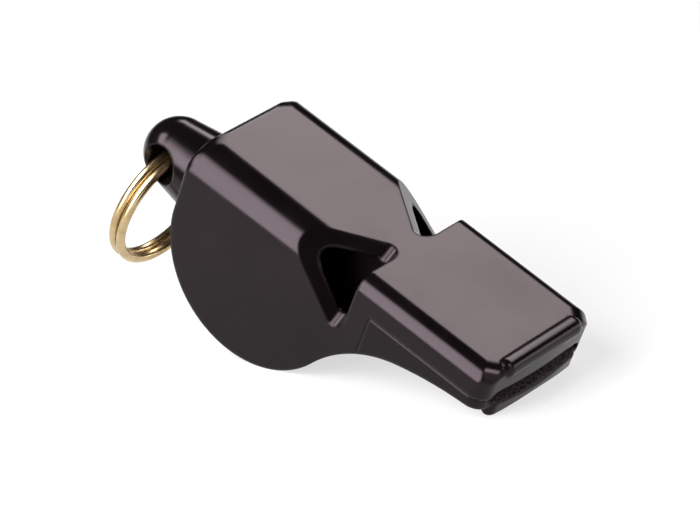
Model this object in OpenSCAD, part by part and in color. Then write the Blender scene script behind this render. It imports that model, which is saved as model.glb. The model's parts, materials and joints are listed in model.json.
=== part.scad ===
// Pealess mouth whistle: welded body and windway insert, with a split ring in the lug.
// It is drawn level, with the flat top at z = 0 and the belly's axis at x = 0,
// and is then tipped forward to lie on its belly and lower lip.

/* [Body] */
// Width across the two flat sides
body_w = 18; // [14:0.5:24]
// Radius of the round belly
drum_r = 11.15; // [9:0.05:14]
// Depth of the belly's axis below the flat top
drum_drop = 7.5; // [6:0.1:9]
// Rounding of the two top edges along the drum
drum_edge_r = 3.5; // [2:0.1:4]
// Rounding of the top edge at the back
back_edge_r = 0.8; // [0.4:0.1:1.6]
// How far the back leans outwards, in degrees
back_lean = 3.4; // [0:0.1:5]
// Rounding of the two top corners at the back
back_round = 3.5; // [2:0.1:4]
// Reach of those two corners, slantwise from the belly's axis
back_corner = 14.4; // [14:0.1:16]
// Rounding of those corners where they turn into the back
back_in_round = 2.6; // [2:0.1:3]
// Reach of those corners where they turn into the back
back_in = 13.9; // [13.7:0.05:15]
// Reach of those corners where they turn into the sides
back_out = 12.55; // [12.4:0.05:13.5]
// Thickness of the drum's shell and of the cheeks
wall = 1.3; // [1:0.1:1.8]
// Thickness of each partition between the three chambers
partition_t = 1.1; // [0.8:0.1:1.6]
// Width of the middle chamber
mid_w = 4.4; // [3:0.1:6]

/* [Mouthpiece] */
// From the belly's axis to the front of the upper lip
nose_x = 29; // [26:0.5:36]
// Rounding of the two top edges along the mouthpiece
mouth_edge_r = 1.9; // [1:0.1:2.4]
// Rounding of the top edge at the front
front_edge_r = 1.5; // [0.8:0.1:1.7]
// Rounding of the two front corners, seen from above
corner_r = 1.7; // [0.8:0.1:2.6]
// Radius of the bow of the front, seen from above
bow_r = 80; // [60:1:84]
// Rounding of the two top corners at the front
front_round = 2.5; // [1.5:0.1:4]
// Reach of those two corners, slantwise from the belly's axis
front_corner = 26.2; // [25.8:0.1:28]
// Rounding of those corners where they turn into the front
front_in_round = 1.7; // [1.5:0.1:2]
// Reach of those corners where they turn into the front
front_in = 29.5; // [29.4:0.05:30.5]
// Rounding of those corners where they turn into the sides
front_out_round = 2.1; // [1.9:0.1:2.4]
// Reach of those corners where they turn into the sides
front_out = 18.95; // [18.8:0.05:20]
// Depth of the mouthpiece at its tip
lip_drop = 4.65; // [4.3:0.05:6]
// Radius of the hollow under the neck
neck_r = 14.6; // [11:0.1:17]
// Radius of the underside between the neck and the lip
under_r = 41; // [34:1:60]
// How far ahead of the upper lip the underside becomes level
under_lead = 0.5; // [0:0.1:2]
// Thickness of the mouthpiece's roof
roof_t = 1.7; // [1.2:0.1:2]
// Thickness of the upper lip at the mouth
lip_t = 2.9; // [2.7:0.1:3.1]
// Step inside the mouth from the roof down to the upper lip
lip_step = 0.5; // [0.4:0.1:0.8]
// Rounding of the upper corners of the mouth slot
slot_r = 1.5; // [0.6:0.1:1.8]

/* [Bite beads] */
// Radius of the upper bead
bead_r = 1.1; // [0.7:0.05:1.2]
// How far the upper bead stands above the flat top
bead_rise = 0.4; // [0.2:0.05:0.6]
// How far the upper bead stands out of the front
bead_out = 0.15; // [0.1:0.05:0.3]
// Length of the straight run of the upper bead
bead_w = 11; // [8:0.1:14]
// Radius of the lower bead
lip_r = 0.9; // [0.7:0.05:1.1]
// How far the lower bead hangs below the underside
lip_rise = 1.15; // [0.6:0.05:1.3]
// How far the lower bead stands out of the front
lip_out = 0.55; // [0.2:0.05:0.7]
// Length of the lower bead
lip_w = 14.3; // [10:0.1:14.8]
// Rounding of the lower bead's ends, seen from above
lip_end_r = 1; // [0.6:0.1:1.6]
// Radius of the lower bead's bow, seen from above
lip_bow_r = 55; // [45:1:70]

/* [Sound windows] */
// Front edge of the two side windows, ahead of the belly's axis
window_x = 11.45; // [10.5:0.05:12.5]
// Start of their slanted back edge, ahead of the belly's axis
window_back = 0.5; // [-1:0.1:1.5]
// Slope of the slanted back edge of the near window
near_slope = 28.3; // [24:0.1:30]
// Tilt of the near window across its edge: more gives less of it to the side
near_tilt = 43.5; // [40:0.5:50]
// Slope of the slanted back edge of the far window, which is the smaller one
far_slope = 24.8; // [22:0.1:28]
// Tilt of the far window across its edge
far_tilt = 54; // [48:0.5:58]
// Rounding of the windows' inner tips
window_tip_r = 1.3; // [0.8:0.1:1.8]
// Length of the middle chamber's window under the neck
low_window = 3.4; // [2.6:0.1:4]
// Depth of that window's upper end below the flat top
low_drop = 5.6; // [4.5:0.1:6]

/* [Insert] */
// Rear edge of the insert, ahead of the belly's axis
insert_x = 13.85; // [13.2:0.05:15]
// Depth of the parting line on the sides
seam_drop = 3.5; // [3.2:0.05:3.9]
// Gap left at the welded parting lines
seam = 0.05; // [0.03:0.01:0.1]
// Height of the side ducts where they meet the windows
duct_h = 1.1; // [0.8:0.05:1.3]
// Depth of the windway's floor at the mouth
mouth_drop = 4.25; // [3.8:0.05:4.3]
// Length of the level stretch of floor behind the ramp
throat = 3; // [2:0.1:5]
// Length of the ribs that divide the three ducts
rib_len = 10; // [7:0.5:12]
// Slope of the middle duct
duct_slope = 20.7; // [18:0.1:22]
// Depth of the middle duct where it leaves the insert
duct_drop = 6.4; // [6.2:0.05:6.7]

/* [Lug] */
// From the belly's axis back to the lug's hole
lug_x = 17.7; // [16.5:0.1:20]
// Depth of the lug's axis below the flat top
lug_drop = 9.4; // [8:0.1:10.5]
// Radius of the lug's domed end
lug_r = 3.8; // [3.2:0.1:4.4]
// Slope of the lug's sides
lug_taper = 9.6; // [5:0.1:12]
// Radius of the cross hole
hole_r = 1.7; // [1.6:0.05:2]
// How far each rim of the hole widens
flare = 0.35; // [0.1:0.05:0.4]
// Length of that widening
flare_len = 0.7; // [0.5:0.05:0.9]

/* [Split ring] */
// Outer diameter of the ring
ring_d = 15.2; // [14.2:0.1:18]
// Diameter of its wire
wire_d = 1; // [0.8:0.05:1.05]
// Gap between the two turns
turn_gap = 0.06; // [0.04:0.01:0.15]
// Least gap between the wire and the hole
ring_play = 0.06; // [0.04:0.01:0.2]
// How far the ring hangs to one side in its hole
ring_lean = 6; // [0:0.5:7]
// How far the ring is turned about the vertical in its hole
ring_yaw = 3.5; // [0:0.5:5]
// Half the arc over which the wire crosses from one turn to the other
cross_arc = 20; // [14:1:30]
// Where on the ring the crossing lies
cross_at = 60; // [40:5:90]

/* [Hidden] */
$fn = 96;
reach = 60;
cheek_y = body_w / 2 - wall;
rib_y = mid_w / 2 + partition_t;
floor_drop = roof_t + duct_h;
throat_x = insert_x + throat;
ramp_x = throat_x + (nose_x - throat_x) * (seam_drop + seam - floor_drop) / (mouth_drop - floor_drop);
root = 0.3;
dip = 0.02;
lip_back = insert_x + rib_len + root;
front_x = nose_x + 0.05;

// Circles of the side view: belly, hollow of the neck, underside of the mouthpiece
belly = [0, -drum_drop];
under = [nose_x + under_lead, -lip_drop - under_r];
to_neck = drum_r + neck_r;
to_under = norm(under - belly);
neck_cos = (pow(to_neck, 2) + pow(to_under, 2) - pow(under_r - neck_r, 2)) / (2 * to_neck * to_under);
neck_turn = acos(neck_cos);
neck_dir = atan2(under[1] - belly[1], under[0] - belly[0]) + neck_turn;
neck = belly + to_neck * [cos(neck_dir), sin(neck_dir)];
neck_start = belly + drum_r * [cos(neck_dir), sin(neck_dir)];
neck_end = under + under_r * (neck - under) / norm(neck - under);

// Centres of the two beads in the middle plane
bead_x = nose_x + bead_out - bead_r;
bead_z = bead_rise - bead_r;
lip_x = nose_x + lip_out - lip_r;
lip_z = lip_r - lip_drop - lip_rise;

// Tip of the side windows
tip_x = window_x - window_tip_r;
window_out = body_w / 2;

// Ring in its hole: it hangs on the rim that it leans towards
wire_r = wire_d / 2;
turn_r = ring_d / 2 - wire_r;
turn_x = wire_r + turn_gap / 2;
ring_y = turn_r * sin(ring_lean);
rim_y = sqrt(pow(lug_r, 2) - pow(hole_r + flare, 2));
rim_drop = sqrt(pow(turn_r, 2) - pow(rim_y + ring_y, 2));
rim_x = turn_x + (rim_y + ring_y) * tan(ring_yaw);
slant_r = wire_r * turn_r / rim_drop;
rim_room = sqrt(pow(hole_r + flare - slant_r - ring_play, 2) - pow(rim_x, 2));
ring_z = -lug_drop - rim_room - rim_drop;
ring_steps = 44;
ring_sides = 10;

// Lying on the belly and the lower bead, centred over the floor
lie = atan2(lip_z - belly[1], lip_x) + asin((drum_r - lip_r) / norm([lip_x, lip_z] - belly));
front_end = bead_x * cos(lie) + bead_z * sin(lie) + bead_r;
ring_sweep = turn_r * norm([sin(ring_yaw) * cos(lie), sin(lie)]);
ring_back = -(lug_x + turn_x * cos(ring_yaw)) * cos(lie) + ring_z * sin(lie);
rear_end = ring_back - ring_sweep - wire_r;
lie_x = -(front_end + rear_end) / 2;
lie_z = drum_drop * cos(lie) + drum_r;

module lying() {
  translate([lie_x, 0, lie_z]) rotate([0, lie, 0]) children();
}

module along_x(from, to) {
  translate([from, 0, 0]) rotate([90, 0, 90]) linear_extrude(height = to - from) children();
}

module across(width) {
  rotate([90, 0, 0]) linear_extrude(height = width, center = true) children();
}

// Side view of the whole whistle, or of its hollow when a shell is taken off
module side_view(shell = 0) {
  edge = max(0.2, back_edge_r - shell);
  round_r = drum_r - shell;
  high = drum_drop - shell - edge;
  out = [-cos(back_lean), -sin(back_lean)];
  back = [-(round_r - edge + high * sin(back_lean)) / cos(back_lean), -shell - edge];
  difference() {
    union() {
      translate(belly) circle(r = round_r);
      polygon([belly, belly + (round_r - dip) * out, back + (edge - dip) * out, back]);
      translate([back[0], -drum_drop]) square([nose_x + reach, drum_drop - shell]);
      translate(back) circle(r = edge);
      polygon([belly, neck_start, [nose_x + reach, neck_start[1]], [nose_x + reach, belly[1]]]);
    }
    difference() {
      translate([front_x - front_edge_r, -front_edge_r]) square([reach, reach]);
      translate([front_x - front_edge_r, -front_edge_r]) circle(r = front_edge_r);
    }
    intersection() {
      translate(neck) circle(r = neck_r + shell);
      translate([neck_end[0] - reach, -reach]) square([reach, reach]);
    }
    intersection() {
      translate(under) circle(r = under_r + shell);
      translate([neck_end[0], -2 * reach]) square([reach, 2 * reach]);
    }
  }
}

// Upright section with rounded top corners
module arch(width, radius, top) {
  translate([-width / 2 + radius, -reach]) square([width - 2 * radius, reach - top]);
  translate([-width / 2, -reach]) square([width, reach - top - radius]);
  for (s = [-1, 1]) translate([s * (width / 2 - radius), -top - radius]) circle(r = radius);
}

// Outline from above: straight sides, round front corners, bowed front
module top_view(width, corner, bow, nose) {
  y = width / 2 - corner;
  x = nose - bow + sqrt(pow(bow - corner, 2) - pow(y, 2));
  bow_y = y * bow / (bow - corner);
  translate([-reach, -width / 2]) square([reach + x, width]);
  for (s = [-1, 1]) translate([x, s * y]) circle(r = corner);
  intersection() {
    translate([nose - bow, 0]) circle(r = bow);
    translate([0, -bow_y]) square([reach, 2 * bow_y]);
  }
}

module half_ball(radius) {
  rotate_extrude(angle = 180) intersection() {
    circle(r = radius);
    translate([0, -radius]) square([radius, 2 * radius]);
  }
}

// Upper bite bead with two ball ends
module bead() {
  translate([bead_x, 0, bead_z]) {
    rotate([90, 0, 0]) cylinder(h = bead_w, r = bead_r, center = true);
    translate([0, bead_w / 2, 0]) half_ball(bead_r);
    translate([0, -bead_w / 2, 0]) rotate([0, 0, 180]) half_ball(bead_r);
  }
}

// Lower bite bead, bowed in front and level with the windway's floor on top
module lip() {
  difference() {
    intersection() {
      translate([lip_x, 0, lip_z]) rotate([90, 0, 0]) cylinder(h = body_w, r = lip_r, center = true);
      translate([0, 0, -reach]) linear_extrude(height = reach)
        top_view(lip_w, lip_end_r, lip_bow_r, nose_x + lip_out - root / 6);
    }
    across(2 * cheek_y) above_floor();
  }
}

// All that lies within one rounded top corner, which faces slantwise
module cornered(turn, side, far, radius) {
  rotate([0, 0, turn]) along_x(-2 * reach, 2 * reach)
    translate([side * (far - reach), 0]) arch(2 * reach, radius, 0);
}

module outer_form() {
  intersection() {
    across(body_w) side_view();
    union() {
      along_x(-reach, window_x - root) arch(body_w, drum_edge_r, 0);
      along_x(window_x - root, nose_x + reach) arch(body_w, mouth_edge_r, 0);
    }
    translate([0, 0, -reach]) linear_extrude(height = 2 * reach) top_view(body_w, corner_r, bow_r, nose_x);
    cornered(67.5, 1, back_in, back_in_round);
    cornered(45, 1, back_corner, back_round);
    cornered(22.5, 1, back_out, back_round);
    cornered(-67.5, -1, back_in, back_in_round);
    cornered(-45, -1, back_corner, back_round);
    cornered(-22.5, -1, back_out, back_round);
    cornered(-67.5, 1, front_in, front_in_round);
    cornered(-45, 1, front_corner, front_round);
    cornered(-22.5, 1, front_out, front_out_round);
    cornered(67.5, -1, front_in, front_in_round);
    cornered(45, -1, front_corner, front_round);
    cornered(22.5, -1, front_out, front_out_round);
  }
}

// Tapered lug with a domed end: the cone dips a hair under the dome before it leaves it
module lug() {
  side_r = lug_r - dip;
  base_h = lug_x - drum_r / 2;
  rim_h = -lug_r * sin(lug_taper);
  translate([-lug_x, 0, -lug_drop]) rotate([0, 90, 0]) rotate_extrude() {
    polygon([
      [0, rim_h],
      [(side_r + rim_h * sin(lug_taper)) / cos(lug_taper), rim_h],
      [(side_r + base_h * sin(lug_taper)) / cos(lug_taper), base_h],
      [0, base_h]
    ]);
    intersection() {
      circle(r = lug_r);
      translate([0, -2 * lug_r]) square([2 * lug_r, 4 * lug_r]);
    }
  }
}

// The three chambers, left by the two partitions
module chambers() {
  difference() {
    intersection() {
      across(body_w) side_view(wall);
      along_x(-reach, window_x - root) arch(2 * cheek_y, drum_edge_r - wall, wall);
    }
    for (s = [-1, 1]) translate([-reach, s * (rib_y - partition_t / 2) - partition_t / 2, -reach])
      cube([2 * reach, partition_t, 2 * reach]);
  }
}

// V-shaped cut across the near top edge, with a rounded inner tip
module side_window(slope, tilt) {
  tip_n = (tip_x - window_back) * tan(slope) - window_tip_r / cos(slope);
  back = [tip_x - window_tip_r * sin(slope), tip_n + window_tip_r * cos(slope)];
  translate([0, -body_w / 2, 0]) rotate([-tilt, 0, 0]) linear_extrude(height = reach, center = true) {
    polygon([
      [window_back - window_out / tan(slope), -window_out],
      back,
      [tip_x, tip_n],
      [window_x, tip_n],
      [window_x, -window_out]
    ]);
    translate([tip_x, tip_n]) circle(r = window_tip_r + dip);
  }
}

// Windway under the level roof, back from the upper lip
module mouth_slot(gap = 0) {
  along_x(insert_x + gap, lip_back) arch(2 * (cheek_y - gap), slot_r - gap, roof_t + gap);
}

// Windway under the upper lip, which steps down from the roof and slopes to the mouth
module lip_slot() {
  start = roof_t + lip_step;
  slope = atan((lip_t - start) / (nose_x - lip_back));
  translate([lip_back - root, 0, -start])
    rotate([0, slope, 0])
      along_x(0, reach)
        arch(2 * cheek_y, slot_r, 0);
}

// Air space above the windway's floor
module above_floor() {
  polygon([
    [insert_x - reach, -floor_drop],
    [throat_x, -floor_drop],
    [nose_x, -mouth_drop],
    [nose_x + reach, -mouth_drop],
    [nose_x + reach, reach],
    [insert_x - reach, reach]
  ]);
}

module body_form() {
  difference() {
    union() {
      outer_form();
      bead();
      lug();
    }
    chambers();
    side_window(near_slope, near_tilt);
    mirror([0, 1, 0]) side_window(far_slope, far_tilt);
    for (s = [-1, 1]) translate([window_x - 1, s * (rib_y + cheek_y - slot_r / 2) / 2, -floor_drop])
      translate([0, -(cheek_y - slot_r / 2 - rib_y) / 2, 0])
        cube([insert_x - window_x + 2, cheek_y - slot_r / 2 - rib_y, duct_h]);
    translate([insert_x - low_window, -mid_w / 2, -reach]) cube([low_window + 1, mid_w, reach - low_drop]);
    mouth_slot();
    lip_slot();
    translate([insert_x, -reach, -reach - seam_drop]) cube([reach, 2 * reach, reach]);
    translate([-lug_x, 0, -lug_drop]) rotate([90, 0, 0]) {
      cylinder(h = 4 * lug_r, r = hole_r, center = true);
      for (s = [0, 180]) rotate([s, 0, 0]) translate([0, 0, rim_y - flare_len])
        cylinder(h = 4 * flare_len, r1 = hole_r, r2 = hole_r + 4 * flare);
    }
  }
}

module insert_form() {
  difference() {
    union() {
      difference() {
        intersection() {
          outer_form();
          translate([insert_x + seam, -reach, -reach - seam_drop - seam]) cube([reach, 2 * reach, reach]);
        }
        across(2 * cheek_y) above_floor();
      }
      difference() {
        intersection() {
          mouth_slot(seam);
          translate([insert_x + seam, -reach, -seam_drop - root])
            cube([ramp_x - insert_x - seam, 2 * reach, reach]);
        }
        across(body_w) above_floor();
      }
      translate([insert_x + seam, -rib_y, -seam_drop - root])
        cube([rib_len, 2 * rib_y, seam_drop + root - roof_t]);
      lip();
    }
    translate([insert_x, -mid_w / 2, -duct_drop]) rotate([0, -duct_slope, 0])
      translate([-reach / 2, 0, -duct_h / 2]) cube([reach, mid_w, duct_h]);
  }
}

// One wire wound two turns side by side, crossing from one turn to the other
function ease(t) = t * t * (3 - 2 * t);
function crossed(a) = min(1, max(0, (a - 360 + cross_arc) / (2 * cross_arc)));
function wire_side(a) = turn_x * (2 * ease(crossed(a)) - 1);
function on_ring(r, a) = [r * sin(a + cross_at), -r * cos(a + cross_at)];
function wire_point(a, b) = concat(wire_side(a) + wire_r * sin(b), on_ring(turn_r + wire_r * cos(b), a));
function wire_ring(a) = [for (j = [0:ring_sides - 1]) wire_point(a, 360 * j / ring_sides)];

module ring_form() {
  n = 2 * ring_steps;
  from = cross_arc;
  step = (720 - 2 * cross_arc) / n;
  points = [for (i = [0:n]) each wire_ring(from + i * step)];
  sides = [for (i = [0:n - 1], j = [0:ring_sides - 1]) let(k = (j + 1) % ring_sides)
    [i * ring_sides + j, i * ring_sides + k, (i + 1) * ring_sides + k, (i + 1) * ring_sides + j]];
  ends = [
    [for (j = [ring_sides - 1:-1:0]) j],
    [for (j = [0:ring_sides - 1]) n * ring_sides + j]
  ];
  translate([-lug_x, ring_y, ring_z]) rotate([0, 0, -ring_yaw])
    polyhedron(points = points, faces = concat(sides, ends), convexity = 6);
}

module body() {
  color([0.06, 0.05, 0.055]) lying() body_form();
}

module insert() {
  color([0.09, 0.08, 0.085]) lying() insert_form();
}

module split_ring() {
  color([0.78, 0.62, 0.33]) lying() ring_form();
}

body();
insert();
split_ring();
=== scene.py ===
# %% [markdown]
# # A pealess whistle with a split ring
#
# The solids of the whistle are already made and packed, and they are the fixed frame of this lesson.
# We dress them: black glossy plastic on the two mouldings, and a smooth round-wire ring in place of the
# faceted one. A studio of soft lamps then gives the plastic something to mirror.

# %% Load the solids
import json
from math import degrees, pi, radians

import bmesh
import bpy
from mathutils import Matrix, Vector

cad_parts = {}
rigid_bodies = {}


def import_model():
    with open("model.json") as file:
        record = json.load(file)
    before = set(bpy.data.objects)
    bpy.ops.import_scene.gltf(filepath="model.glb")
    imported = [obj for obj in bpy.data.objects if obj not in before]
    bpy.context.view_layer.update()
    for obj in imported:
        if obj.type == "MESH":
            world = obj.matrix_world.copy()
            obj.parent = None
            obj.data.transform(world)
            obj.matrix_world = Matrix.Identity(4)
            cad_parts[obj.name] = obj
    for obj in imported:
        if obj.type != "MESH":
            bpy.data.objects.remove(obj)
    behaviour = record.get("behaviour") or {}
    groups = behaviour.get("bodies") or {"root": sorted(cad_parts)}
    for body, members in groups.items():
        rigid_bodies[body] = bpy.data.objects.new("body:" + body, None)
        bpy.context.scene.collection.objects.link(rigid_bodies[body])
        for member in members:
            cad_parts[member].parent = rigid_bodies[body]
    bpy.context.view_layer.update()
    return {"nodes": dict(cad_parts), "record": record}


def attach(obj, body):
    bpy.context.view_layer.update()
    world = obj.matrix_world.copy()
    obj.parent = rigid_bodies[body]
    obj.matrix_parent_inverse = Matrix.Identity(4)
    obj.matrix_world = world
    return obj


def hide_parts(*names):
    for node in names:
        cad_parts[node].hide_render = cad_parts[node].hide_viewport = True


for leftover in list(bpy.data.objects):
    bpy.data.objects.remove(leftover)
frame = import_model()
nodes = frame["nodes"]
record = frame["record"]
MM = 0.001
print("solids:", sorted(nodes))

# %% [markdown]
# ## The camera
#
# A product photograph like this one is taken from far away with a long lens, so the long edges of the
# mouthpiece stay almost parallel. A constraint could point the camera, but a matrix built from where it
# stands, what it looks at and how far it is rolled keeps everything in a few plain values.

# %% Aim the camera
CAMERA_AT = Vector((268.23, -322.0, 190.3)) * MM
CAMERA_LOOKS_AT = Vector((1.85, 0.51, 9.24)) * MM
CAMERA_ROLL = radians(4.55)
LENS_MM = 230.5
SENSOR_MM = 36
CLIP_START, CLIP_END = 0.01, 20

backward = (CAMERA_AT - CAMERA_LOOKS_AT).normalized()
level_right = Vector((0, 0, 1)).cross(backward).normalized()
upright = backward.cross(level_right)
aim = Matrix((level_right, upright, backward)).transposed()
aim = aim @ Matrix.Rotation(-CAMERA_ROLL, 3, "Z")

lens = bpy.data.cameras.new("camera")
lens.lens = LENS_MM
lens.sensor_width = SENSOR_MM
lens.clip_start, lens.clip_end = CLIP_START, CLIP_END
camera = bpy.data.objects.new("camera", lens)
camera.matrix_world = Matrix.Translation(CAMERA_AT) @ aim.to_4x4()
bpy.context.scene.collection.objects.link(camera)
bpy.context.scene.camera = camera
print("camera stands", round((CAMERA_AT - CAMERA_LOOKS_AT).length / MM), "mm away")

# %% [markdown]
# ## A small language for materials
#
# Node trees are easy to draw with the mouse and tiresome to write as code. This class wraps one output
# socket. Sums and products of wrapped sockets add Math nodes, so a mask reads like a formula, and the
# `node` method adds anything else.

# %% Wrap the sockets
class Wire:
    """One output among a material's nodes. Maths on it adds Math nodes to the same material."""

    def __init__(self, tree, socket=None):
        self.tree = tree
        self.socket = socket

    def node(self, kind, settings=None, sockets=None, output=0):
        """Adds a node, sets it up, fills or links its sockets and wraps one of its outputs."""
        made = self.tree.nodes.new(kind)
        for name, value in (settings or {}).items():
            setattr(made, name, value)
        for name, value in (sockets or {}).items():
            if isinstance(value, Wire):
                self.tree.links.new(value.socket, made.inputs[name])
            else:
                made.inputs[name].default_value = value
        return Wire(self.tree, made.outputs[output] if made.outputs else None)

    def maths(self, operation, first, second):
        return self.node("ShaderNodeMath", {"operation": operation}, {0: first, 1: second})

    def __add__(self, other):
        return self.maths("ADD", self, other)

    def __radd__(self, other):
        return self.maths("ADD", other, self)

    def __sub__(self, other):
        return self.maths("SUBTRACT", self, other)

    def __rsub__(self, other):
        return self.maths("SUBTRACT", other, self)

    def __mul__(self, other):
        return self.maths("MULTIPLY", self, other)

    def __rmul__(self, other):
        return self.maths("MULTIPLY", other, self)

    def step(self, start, end):
        """Rises smoothly from 0 to 1 between two values."""
        settings = {"interpolation_type": "SMOOTHSTEP", "clamp": True}
        return self.node("ShaderNodeMapRange", settings, {"Value": self, "From Min": start, "From Max": end})

    def blend(self, low, high):
        """A colour between two others, by this wire's value."""
        return self.node("ShaderNodeMix", {"data_type": "RGBA"}, {0: self, 6: low, 7: high}, output=2)


def start_material(name):
    """An empty material and a wire that adds nodes to it."""
    material = bpy.data.materials.new(name)
    material.use_nodes = True
    material.node_tree.nodes.clear()
    return material, Wire(material.node_tree)


def show(wire, shader):
    """Sends a shader to the material's output."""
    wire.node("ShaderNodeOutputMaterial", None, {"Surface": shader})


print("materials are written as formulas from here on")

# %% [markdown]
# ## Level coordinates for the patterns
#
# The whistle lies on its belly and its lower bead, so its flat top slopes. Patterns are easier to place
# when the top is level again. The record states the ring's axis, which is the whistle's length axis
# turned a little sideways, so the slope comes from there. The middle of the flat side lies on the belly's
# axis, which becomes the new origin. A Mapping node does both to the Object coordinates.

# %% Find the slope
mounts = {mount["name"]: mount for mount in record["mounts"]}
ring_axis = -Vector(mounts["ring_loop"]["axis"])
ring_centre = Vector(mounts["ring_loop"]["pos_m"])
belly = Vector(mounts["near_side"]["pos_m"])
ring_up = Vector((-ring_axis.z, 0, ring_axis.x)).normalized()
length_axis = Vector((ring_up.z, 0, -ring_up.x))
slope = Vector((1, 0, 0)).angle(length_axis)
origin = Matrix.Rotation(-slope, 3, "Y") @ belly / MM
print("the whistle lies at", round(degrees(slope), 2), "degrees")


def level_place(wire):
    """Millimetres from the belly's axis, turned so that the flat top is level."""
    place = wire.node("ShaderNodeTexCoord", output="Object")
    turn = {"Vector": place, "Location": (-origin.x, 0, -origin.z), "Rotation": (0, -slope, 0),
            "Scale": (1 / MM,) * 3}
    return wire.node("ShaderNodeMapping", {"vector_type": "POINT"}, turn)


# %% [markdown]
# ## Black glossy plastic
#
# Moulded plastic is a deep black that shows almost only what it mirrors. A polished mould leaves a
# faint waviness and a few duller patches where hands have been, so the roughness wanders a little. The
# windway's floor is left coarse: its grain is dull and scatters more light. The mould's edges are never
# knife-sharp: the Bevel node rounds them for the light, without touching the solid. Scales count per
# millimetre, and heights are in millimetres.

# %% Mix the plastic
PLASTIC_BLACK = (0.0026, 0.0018, 0.0020, 1)
PLASTIC_WORN = (0.0042, 0.0031, 0.0034, 1)
PLASTIC_GRAINED = (0.085, 0.067, 0.074, 1)
PLASTIC_TINT = (1.0, 0.80, 0.88, 1)
PLASTIC_IOR = 1.31
GLOSS = 0.16
WORN_DULLS = 0.04
GRAIN_DULLS = 0.40
EDGE_ROUNDING = 0.42 * MM
EDGE_SAMPLES = 6
FINE_SCALE, FINE_HEIGHT = 3.5, 0.0011
WAVE_SCALE, WAVE_HEIGHT = 0.35, 0.0012
HANDS_SCALE = 0.11
GRAIN_SCALE, GRAIN_HEIGHT = 3.6, 0.09


def noise(wire, place, scale, detail=2.0, roughness=0.5):
    sockets = {"Vector": place, "Scale": scale, "Detail": detail, "Roughness": roughness}
    return wire.node("ShaderNodeTexNoise", None, sockets)


def plastic(name, relief, dull_colour, dulls):
    """Black plastic. relief gives the height of its texture and a mask of its dull places."""
    material, wire = start_material(name)
    place = level_place(wire)
    height, dull = relief(wire, place)
    fine = noise(wire, place, FINE_SCALE)
    rounded = wire.node("ShaderNodeBevel", {"samples": EDGE_SAMPLES}, {"Radius": EDGE_ROUNDING})
    bump = {"Height": height + fine * FINE_HEIGHT, "Distance": MM, "Strength": 1.0, "Normal": rounded}
    surface = wire.node("ShaderNodeBsdfPrincipled", None, {
        "Base Color": dull.blend(PLASTIC_BLACK, dull_colour),
        "Roughness": GLOSS + dull * dulls,
        "IOR": PLASTIC_IOR,
        "Specular Tint": PLASTIC_TINT,
        "Normal": wire.node("ShaderNodeBump", None, bump),
    })
    show(wire, surface)
    return material


def smooth_mould(wire, place):
    """The drum and the roof come from a polished mould: long, shallow waves, dull where hands have been."""
    hands = noise(wire, place, HANDS_SCALE, detail=3.0, roughness=0.6).step(0.35, 0.75)
    waves = noise(wire, place, WAVE_SCALE, detail=1.0)
    return waves * WAVE_HEIGHT, hands


def grained_floor(wire, place):
    """The windway's floor is spark-eroded: a coarse grain on what faces up between the cheeks."""
    facing = wire.node("ShaderNodeTexCoord", output="Normal")
    upward = wire.node("ShaderNodeVectorMath", {"operation": "DOT_PRODUCT"},
                       {0: facing, 1: tuple(ring_up)}, output="Value")
    grained = upward.step(0.75, 0.95)
    sparks = noise(wire, place, GRAIN_SCALE, detail=3.0, roughness=0.7)
    return sparks * GRAIN_HEIGHT * grained, sparks.step(0.30, 0.70) * grained


body_plastic = plastic("black gloss plastic", smooth_mould, PLASTIC_WORN, WORN_DULLS)
insert_plastic = plastic("black gloss plastic with grained floor", grained_floor,
                         PLASTIC_GRAINED, GRAIN_DULLS)
for name, material in (("body", body_plastic), ("insert", insert_plastic)):
    nodes[name].data.materials[0] = material
    print(name, "is dressed in", material.name)

# %% [markdown]
# ## The split ring
#
# A split ring is one spring wire wound twice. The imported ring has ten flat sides; a mirror-bright wire
# needs more. A round section is spun about the ring's axis: almost a full turn, then a crossing in short
# spins that each shift the wire a little sideways, then the second turn. Spinning from the last loop of
# the spin before keeps the whole wire in one skin. The wire is a hundredth of a millimetre thinner than
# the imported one, so that its round skin clears the body wherever the ring swings.

# %% Wind the wire
RING_D = 15.2 * MM
WIRE_D = 0.99 * MM
TURN_GAP = 0.06 * MM
CROSS_AT = radians(60)
CROSS_ARC = radians(20)
CROSS_SPINS = 8
STEPS_PER_SPIN = 2
TURN_STEPS = 110
WIRE_SIDES = 20
END_BEVEL = WIRE_D / 8
WELD = WIRE_D / 10000

turn_r = (RING_D - WIRE_D) / 2
turn_x = (WIRE_D + TURN_GAP) / 2
X_AXIS = (1, 0, 0)


def spin_on(mesh, loop_edges, angle, steps, shift=0.0):
    """Spins a loop of edges about the ring's axis, shifts it sideways on the way, gives the last loop."""
    spun = bmesh.ops.spin(mesh, geom=loop_edges, cent=(0, 0, 0), axis=X_AXIS, dvec=(shift / steps, 0, 0),
                          angle=angle, steps=steps, use_merge=False, use_duplicate=False)
    return [part for part in spun["geom_last"] if isinstance(part, bmesh.types.BMEdge)]


def ease(t):
    """Starts and ends gently between 0 and 1."""
    return t * t * (3 - 2 * t)


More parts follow.
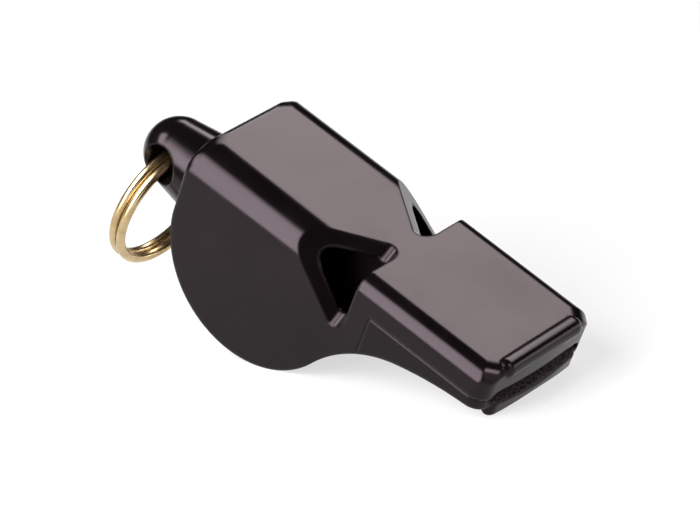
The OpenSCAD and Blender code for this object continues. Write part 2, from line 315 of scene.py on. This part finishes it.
wire_mesh = bmesh.new()
start = Matrix.Rotation(CROSS_AT + CROSS_ARC, 4, "X") @ Matrix.Translation((-turn_x, 0, -turn_r))
bmesh.ops.create_circle(wire_mesh, cap_ends=False, segments=WIRE_SIDES, radius=WIRE_D / 2,
                        matrix=start @ Matrix.Rotation(pi / 2, 4, "X"))
first_loop = list(wire_mesh.edges)
one_turn = 2 * pi - 2 * CROSS_ARC
edge_loop = spin_on(wire_mesh, first_loop, one_turn, TURN_STEPS)
for i in range(CROSS_SPINS):
    shift = 2 * turn_x * (ease((i + 1) / CROSS_SPINS) - ease(i / CROSS_SPINS))
    edge_loop = spin_on(wire_mesh, edge_loop, 2 * CROSS_ARC / CROSS_SPINS, STEPS_PER_SPIN, shift)
last_loop = spin_on(wire_mesh, edge_loop, one_turn, TURN_STEPS)
ends = [bmesh.ops.contextual_create(wire_mesh, geom=loop_edges)["faces"]
        for loop_edges in (first_loop, last_loop)]
end_edges = [edge for faces in ends for face in faces for edge in face.edges]
bmesh.ops.bevel(wire_mesh, geom=end_edges, offset=END_BEVEL, segments=3, profile=0.5,
                affect="EDGES", material=-1)
bmesh.ops.remove_doubles(wire_mesh, verts=wire_mesh.verts, dist=WELD)
bmesh.ops.recalc_face_normals(wire_mesh, faces=wire_mesh.faces)
print("the wound wire has", len(wire_mesh.faces), "faces")

# %% [markdown]
# ## The ring in its hole
#
# The wire was wound around the world's origin. One matrix stands it up as the record states it, and the
# points are moved instead of the object, so the object itself stays at the origin. The ring rides on the
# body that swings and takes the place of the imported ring.

# %% Stand the ring up
ring_side = ring_up.cross(ring_axis)
stand = Matrix((ring_axis, ring_side, ring_up)).transposed().to_4x4()
bmesh.ops.transform(wire_mesh, matrix=Matrix.Translation(ring_centre) @ stand, verts=wire_mesh.verts)
ring_skin = bpy.data.meshes.new("split_ring_wire")
wire_mesh.to_mesh(ring_skin)
wire_mesh.free()
ring_skin.shade_smooth()
split_ring = bpy.data.objects.new("split_ring_wire", ring_skin)
bpy.context.scene.collection.objects.link(split_ring)
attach(split_ring, "ring")
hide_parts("split_ring")
print("the ring hangs at", [round(v / MM, 2) for v in ring_centre], "mm")

# %% [markdown]
# ## Pale gold plating
#
# The ring's plating is a pale gold. Plated wire keeps faint marks of its drawing and a few dull spots, so
# a broad noise changes its colour and roughness and a fine one its surface. All of its contrast comes
# from what it mirrors.

# %% Plate the ring
GOLD_PALE = (0.58, 0.45, 0.25, 1)
GOLD_DEEP = (0.46, 0.34, 0.17, 1)
GOLD_GLOSS = 0.22
BLOTCH_SCALE, BLOTCH_DULLS = 0.55, 0.08
MARK_SCALE, MARK_HEIGHT, MARK_STRENGTH = 6.0, 0.001, 0.6

gold, wire = start_material("pale gold plating")
place = level_place(wire)
blotches = noise(wire, place, BLOTCH_SCALE, detail=3.0, roughness=0.6).step(0.35, 0.7)
marks = noise(wire, place, MARK_SCALE)
bump = {"Height": marks * MARK_HEIGHT, "Distance": MM, "Strength": MARK_STRENGTH}
show(wire, wire.node("ShaderNodeBsdfPrincipled", None, {
    "Base Color": blotches.blend(GOLD_PALE, GOLD_DEEP),
    "Metallic": 1.0,
    "Roughness": GOLD_GLOSS + blotches * BLOTCH_DULLS,
    "Normal": wire.node("ShaderNodeBump", None, bump),
}))
ring_skin.materials.append(gold)
print("the ring is plated with", gold.name)

# %% [markdown]
# ## The table
#
# The whistle lies on a plain white table. The lamps alone light it to a grey, so the rays that come from
# the lens, or from a mirror or glass, also see a glow in its paint: the bare table turns white and the
# soft shadow stays.

# %% Lay the floor
FLOOR_SIZE = 6.0
FLOOR_PAINT = (0.26, 0.26, 0.26, 1)
FLOOR_GLOW = 0.66

floor_mesh = bmesh.new()
bmesh.ops.create_grid(floor_mesh, x_segments=1, y_segments=1, size=FLOOR_SIZE / 2)
floor_skin = bpy.data.meshes.new("floor")
floor_mesh.to_mesh(floor_skin)
floor_mesh.free()
floor = bpy.data.objects.new("floor", floor_skin)
bpy.context.scene.collection.objects.link(floor)

table, wire = start_material("white table")
seen = 0.0
for ray in ("Is Camera Ray", "Is Glossy Ray", "Is Transmission Ray"):
    seen = wire.maths("MAXIMUM", seen, wire.node("ShaderNodeLightPath", output=ray))
paint = wire.node("ShaderNodeBsdfDiffuse", None, {"Color": FLOOR_PAINT})
glow = wire.node("ShaderNodeEmission", None, {"Strength": FLOOR_GLOW})
glowing = wire.node("ShaderNodeAddShader", None, {0: paint, 1: glow})
show(wire, wire.node("ShaderNodeMixShader", None, {0: seen, 1: paint, 2: glowing}))
table.cycles.emission_sampling = "NONE"
floor_skin.materials.append(table)
print("the floor is", FLOOR_SIZE, "m wide")

# %% [markdown]
# ## The room
#
# The room is dim, because black plastic looks black only where it mirrors something dark. A paler strip
# along the horizon stands for the far end of the table.

# %% Paint the room
ROOM_LOW = (0.35, 0.33, 0.35, 1)
ROOM_HIGH = (0.012, 0.010, 0.011, 1)
HORIZON_ENDS, DARK_BEGINS = 0.02, 0.16

room = bpy.data.worlds.new("room")
bpy.context.scene.world = room
room.use_nodes = True
room.node_tree.nodes.clear()
wire = Wire(room.node_tree)
direction = wire.node("ShaderNodeTexCoord", output="Generated")
height = wire.node("ShaderNodeSeparateXYZ", None, {"Vector": direction}, output="Z")
walls = height.step(HORIZON_ENDS, DARK_BEGINS).blend(ROOM_LOW, ROOM_HIGH)
glow = wire.node("ShaderNodeBackground", None, {"Color": walls, "Strength": 1.0})
wire.node("ShaderNodeOutputWorld", None, {"Surface": glow})
print("the room is painted by", room.name)

# %% [markdown]
# ## How a softbox is made
#
# Each softbox is an area lamp that faces the whistle. Its power is worked out from how bright its panel
# should look, where 1 is white paper. A real softbox fades towards its rim, so the lamp's own nodes fade
# it: the Parametric output counts from 0 to 1 across the panel, and two numbers for each way say how much
# of the panel the fading takes at either end.

# %% Make softboxes
TARGET = Vector((0, 0, 14)) * MM
UNLIT = (0, 0, 0, 1)
LIT = (1, 1, 1, 1)


def softbox(name, direction, along, distance, size, fade, brightness, tint):
    """An area lamp at a distance in a direction. Its first side runs along a second direction."""
    lamp = bpy.data.lights.new(name, "AREA")
    lamp.shape = "RECTANGLE"
    lamp.size, lamp.size_y = size
    lamp.energy = brightness * pi * lamp.size * lamp.size_y
    lamp.color = tint
    lamp.use_nodes = True
    lamp.node_tree.nodes.clear()
    wire = Wire(lamp.node_tree)
    count = wire.node("ShaderNodeNewGeometry", output="Parametric")
    rim = 1.0
    for axis, (first, last) in zip("XY", fade):
        part = wire.node("ShaderNodeSeparateXYZ", None, {"Vector": count}, output=axis)
        rim = part.step(0, first) * (1 - part).step(0, last) * rim
    emission = wire.node("ShaderNodeEmission", None, {"Color": rim.blend(UNLIT, LIT)})
    wire.node("ShaderNodeOutputLight", None, {"Surface": emission})
    facing = Vector(direction).normalized()
    side = (Vector(along) - facing * Vector(along).dot(facing)).normalized()
    turn = Matrix((side, facing.cross(side), facing)).transposed()
    box = bpy.data.objects.new(name, lamp)
    box.matrix_world = Matrix.Translation(TARGET + facing * distance) @ turn.to_4x4()
    box.visible_camera = False
    bpy.context.scene.collection.objects.link(box)
    print(name, "gives", round(lamp.energy, 2), "W")


print("softboxes face", [round(v / MM, 1) for v in TARGET], "mm")

# %% [markdown]
# ## Soft lamps
#
# Six softboxes draw the whistle. One stands behind and is mirrored by the flat top; one hangs in front
# and makes the bright band on the near rounding. One to its left is mirrored by the tapered lug, and a
# weak one lights the mouth. The smallest puts a spark on the near front corner, and the last stands low
# behind the mouthpiece and is mirrored by the upper bead.

# %% Hang the lamps
LAMPS = (
    dict(name="back softbox", direction=(-0.04, 0.71, 0.705), along=(1, 0, 0), distance=0.6,
         size=(0.70, 0.16), fade=((0.2, 0.2), (0.2, 0.2)), brightness=7.4, tint=(1.0, 0.93, 0.92)),
    dict(name="front softbox", direction=(-0.16, -0.875, 0.457), along=(-0.30, -0.05, -0.95), distance=0.30,
         size=(0.46, 0.20), fade=((0.25, 0.02), (0.3, 0.3)), brightness=11.8, tint=(0.99, 0.97, 1.0)),
    dict(name="lug softbox", direction=(-0.54, -0.55, 0.63), along=(-0.04, 0.47, 0.28), distance=0.34,
         size=(0.30, 0.18), fade=((0.15, 0.15), (0.3, 0.3)), brightness=12.0, tint=(0.99, 0.97, 1.0)),
    dict(name="mouth softbox", direction=(0.95, -0.05, 0.30), along=(0, 1, 0), distance=0.40,
         size=(0.40, 0.36), fade=((0.3, 0.3), (0.3, 0.3)), brightness=1.2, tint=(1.0, 0.92, 0.92)),
    dict(name="corner softbox", direction=(0.73, 0.04, 0.68), along=(0, 1, 0), distance=0.40,
         size=(0.09, 0.09), fade=((0.1, 0.1), (0.1, 0.1)), brightness=14.0, tint=(0.99, 0.97, 1.0)),
    dict(name="low softbox", direction=(0.69, 0.73, 0.07), along=(0, 0, 1), distance=0.50,
         size=(0.09, 0.36), fade=((0.2, 0.2), (0.3, 0.3)), brightness=5.0, tint=(1.0, 0.93, 0.95)),
)
for lamp in LAMPS:
    softbox(**lamp)

# %% [markdown]
# ## Finish
#
# Colours should leave the renderer as they are written, so the view transform is Standard.

# %% Set the view transform
bpy.context.scene.view_settings.view_transform = "Standard"
